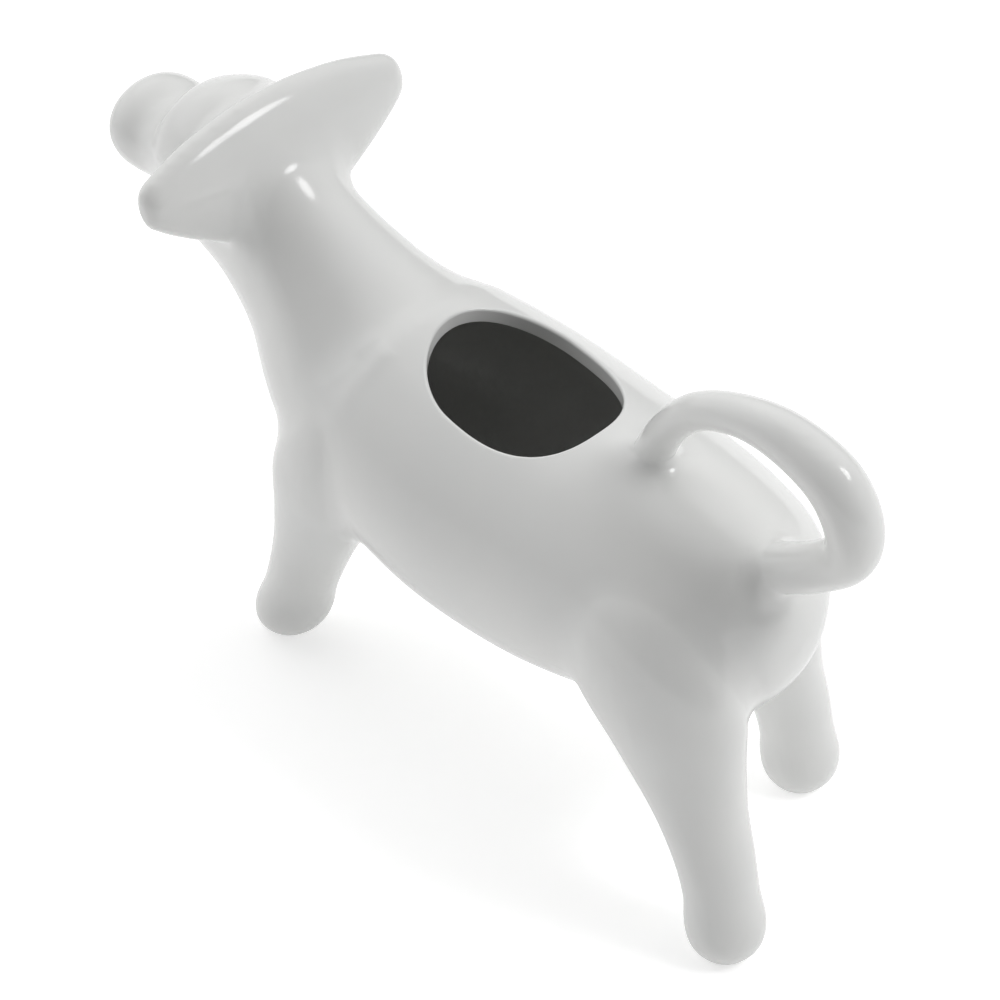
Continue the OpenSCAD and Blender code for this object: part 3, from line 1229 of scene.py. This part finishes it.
@dataclass(frozen=True)
class Studio:
    """A white table in a room of lit white sheets, and the camera at the photograph's angle."""

    sheets: tuple[Glow, ...] = (
        Glow(0.0, 12.0, 1.03),
        Glow(45.0, 12.0, 0.48),
        Glow(180.0, 12.0, 0.12),
        Glow(-135.0, 25.0, 0.55),
        Glow(-60.0, 65.0, 1.0),
    )
    # A patch fades out where the cosine of the angle from its middle falls to this, 57 degrees.
    fade_cosine: float = 0.55
    even: float = 0.04
    lamp: Lamp = Lamp()
    table_size: float = 3.0
    table_light: float = 0.24
    table_bleach: float = 0.46

    azimuth: float = 46.0
    elevation: float = 44.0
    distance: float = 800.0
    target: Row = (-16.4852, 12.4287, 60.0)
    lens: float = 169.92

    def camera(self) -> None:
        """Places the camera."""
        a, e = math.radians(self.azimuth), math.radians(self.elevation)
        back = Vector((-math.cos(e) * math.cos(a), math.cos(e) * math.sin(a), math.sin(e)))
        right = Vector((-math.sin(a), -math.cos(a), 0))
        up = back.cross(right)
        spot = (Vector(self.target) + back * self.distance) * MM
        data = bpy.data.cameras.new("camera")
        data.lens = self.lens
        data.sensor_width = 36.0
        data.clip_start = 0.01
        made = placed("camera", data)
        made.matrix_world = Matrix.Translation(spot) @ Matrix(
            [[right[i], up[i], back[i]] for i in range(3)]).to_4x4()
        bpy.context.scene.camera = made

    def floor(self) -> None:
        """Lays the plain white table."""
        bm = bmesh.new()
        bmesh.ops.create_grid(bm, x_segments=1, y_segments=1, size=self.table_size)
        made = as_object("table_top", bm)
        m = bare_material("white_studio_table")
        paint = node(m, "ShaderNodeBsdfDiffuse", {"Color": linear("#F4F4F4")})
        # The sheet is lit from below as well, and bleached in the photograph.
        seen = node(m, "ShaderNodeLightPath")
        bleached = node(m, "ShaderNodeMapRange",
                        {"To Min": self.table_light, "To Max": self.table_bleach},
                        {"Value": seen.outputs["Is Camera Ray"]})
        lit = node(m, "ShaderNodeEmission", {"Color": linear("#FFFFFF")},
                   {"Strength": bleached.outputs["Result"]})
        both = node(m, "ShaderNodeAddShader", None, {"0": paint.outputs[0], "1": lit.outputs[0]})
        node(m, "ShaderNodeOutputMaterial", None, {"Surface": both.outputs[0]})
        made.data.materials.append(m)

    def room(self) -> None:
        """Lights the room by its sheets and shows plain white behind the jug."""
        world = bpy.data.worlds.new("room")
        bpy.context.scene.world = world
        world.use_nodes = True
        world.node_tree.nodes.clear()
        facing = node(world, "ShaderNodeTexCoord").outputs["Generated"]
        total = node(world, "ShaderNodeValue").outputs[0]
        total.default_value = self.even
        for sheet in self.sheets:
            middle = toward(sheet.azimuth, sheet.elevation)
            near = node(world, "ShaderNodeVectorMath", {"operation": "DOT_PRODUCT", "1": middle},
                        {"0": facing})
            fade = node(world, "ShaderNodeMapRange", {
                "interpolation_type": "SMOOTHSTEP", "From Min": self.fade_cosine,
                "From Max": 1.0, "To Max": sheet.strength}, {"Value": near.outputs["Value"]})
            total = node(world, "ShaderNodeMath", {"operation": "ADD"},
                         {"0": total, "1": fade.outputs["Result"]}).outputs[0]
        seen = node(world, "ShaderNodeLightPath")
        lit = node(world, "ShaderNodeBackground", {"Color": linear("#FFFFFF")},
                   {"Strength": total})
        white = node(world, "ShaderNodeBackground", {"Color": linear("#FFFFFF"), "Strength": 1.0})
        pick = node(world, "ShaderNodeMixShader", None, {
            "0": seen.outputs["Is Camera Ray"], "1": lit.outputs[0], "2": white.outputs[0]})
        node(world, "ShaderNodeOutputWorld", None, {"Surface": pick.outputs[0]})

    def build(self) -> None:
        """Sets up the whole studio."""
        self.camera()
        self.floor()
        self.room()
        self.lamp.hang()
        bpy.context.scene.view_settings.view_transform = "Standard"


def main() -> None:
    """Builds the studio and the jug, and reports each casting."""
    logging.basicConfig(level=logging.INFO, format="%(message)s")
    Studio().build()
    glaze, inside, sole = (finish.material() for finish in
                           (GlazedPorcelain(), INSIDE_PAINTED_SHADE, BiscuitSole()))
    jug = Jug()
    skin = jug.skin(inside)
    LOG.info("skin: %d faces", len(skin.data.polygons))
    gloss = Gloss(skin)
    for name, piece in jug.parted(skin).items():
        gloss.share(piece)
        dress(piece, (glaze, inside, sole))
        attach(piece, BODY)
        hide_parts(name)
    discard(skin, *jug.blanks.values())


if __name__ == "__main__":
    main()
